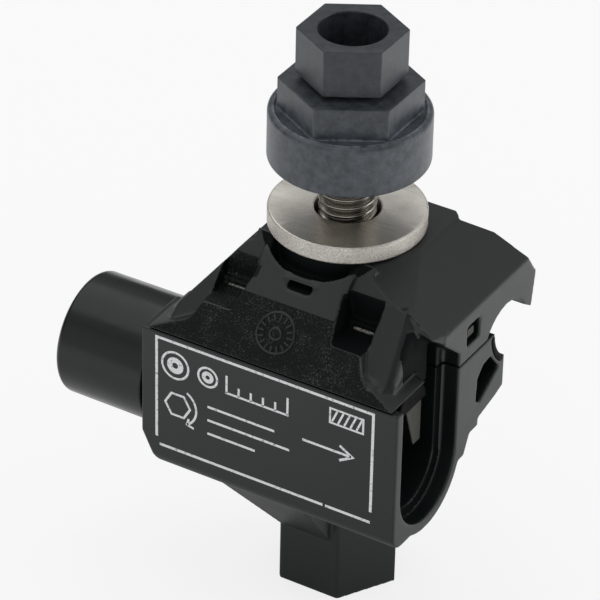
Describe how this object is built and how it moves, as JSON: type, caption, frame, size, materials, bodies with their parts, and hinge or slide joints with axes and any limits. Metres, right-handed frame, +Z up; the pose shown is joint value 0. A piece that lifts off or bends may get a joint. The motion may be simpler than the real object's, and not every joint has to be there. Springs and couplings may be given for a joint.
{
  "type": "insulation piercing connector",
  "caption": "Black plastic jaws with toothed contacts on a bolt with washer and grey shear head, clamping a tap cable to a main line through the insulation, with an end cap.",
  "frame": {"origin": "centre of the boss's foot, on the bolt's axis", "axes": "+Z up the bolt, +X out of the tap trough's open end, -Y out of the label wall"},
  "size_m": [0.0547, 0.0378, 0.087],
  "materials": {
    "black_polyamide": "satin moulded, rough brow",
    "grey_moulding": "matte moulded",
    "glossy_cap": "glossy",
    "black_seal": "matte",
    "tinned_contact": "dull tinned",
    "stainless": "brushed",
    "bolt_steel": "bright threaded"
  },
  "bodies": {
    "base": {"lower_jaw": "black_polyamide", "lower_contact_entry": "tinned_contact", "lower_contact_inner": "tinned_contact", "lower_main_seal": "black_seal", "lower_tap_seal": "black_seal", "bolt": "bolt_steel"},
    "upper": {"upper_jaw": "black_polyamide", "upper_contact_entry": "tinned_contact", "upper_contact_inner": "tinned_contact", "upper_main_seal": "black_seal", "upper_tap_seal": "black_seal", "washer": "stainless"},
    "insert": {"nut_insert": "bolt_steel"},
    "head": {"shear_head": "grey_moulding"},
    "cap": {"end_cap": "glossy_cap"}
  },
  "joints": [
    {"name": "jaw_lift", "type": "slide", "parent": "base", "child": "upper", "axis": [0, 0, 1], "range_m": [0, 0.0074]},
    {"name": "head_climb", "type": "slide", "parent": "base", "child": "insert", "axis": [0, 0, 1], "range_m": [0, 0.00701]},
    {"name": "head_turn", "type": "hinge", "parent": "insert", "child": "head", "pos_m": [0, 0, 0.07], "axis": [0, 0, 1], "range_deg": [0, 2016]},
    {"name": "cap_pull", "type": "slide", "parent": "base", "child": "cap", "axis": [-1, 0, 0], "range_m": [0, 0.025]}
  ],
  "couplings": [
    {"joint": "head_climb", "follows": "head_turn", "m_per_rad": 0.00019894}
  ]
}
